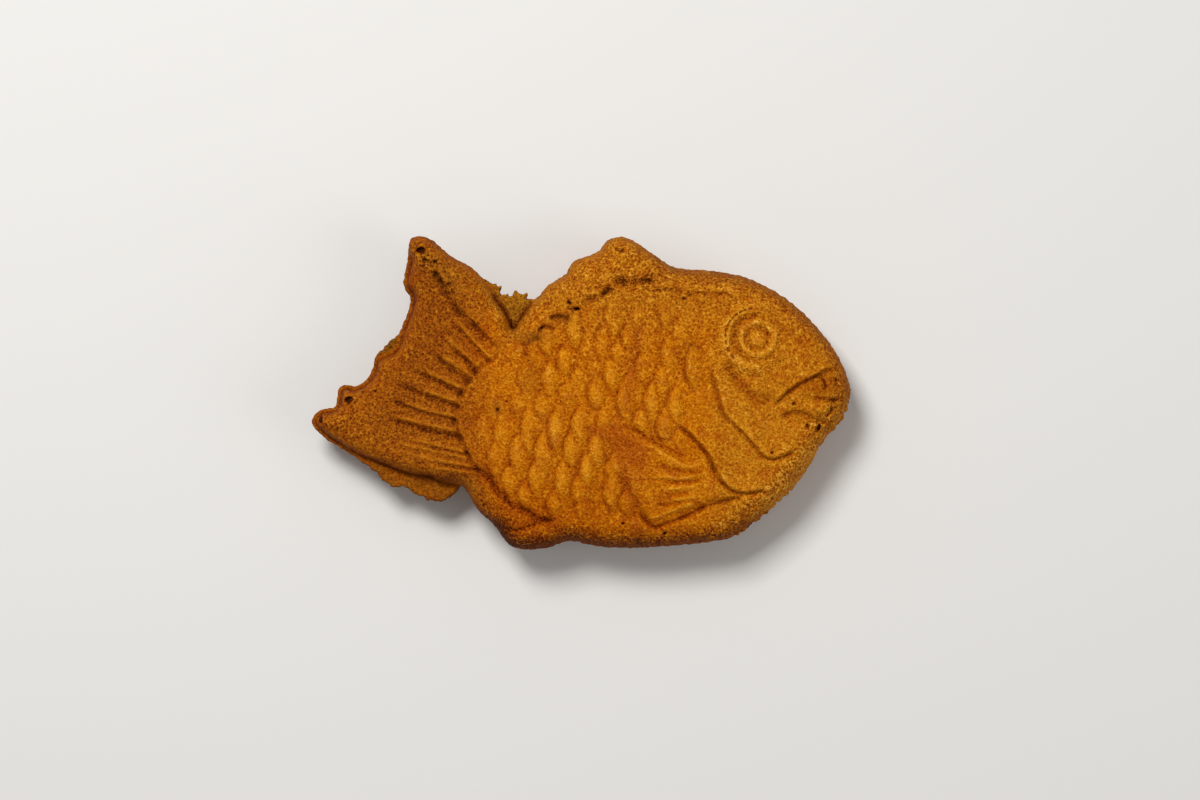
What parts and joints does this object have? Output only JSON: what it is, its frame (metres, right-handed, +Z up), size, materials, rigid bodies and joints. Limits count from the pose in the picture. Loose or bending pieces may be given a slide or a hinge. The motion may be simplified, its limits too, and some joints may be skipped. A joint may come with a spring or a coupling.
{
  "type": "taiyaki",
  "caption": "Fish-shaped filled waffle cake with moulded scales, fins and eye, and a thin seam lip all round, lying on one flank.",
  "frame": {"origin": "middle of the fish's outline seen from above, on the surface that it lies on", "axes": "+X towards the fish's head, +Y towards its back, +Z up, across its thickness"},
  "size_m": [0.1506, 0.0877, 0.0273],
  "materials": {
    "baked_batter": "dry golden brown waffle crust"
  },
  "bodies": {
    "root": {"taiyaki": "baked_batter"}
  },
  "joints": []
}
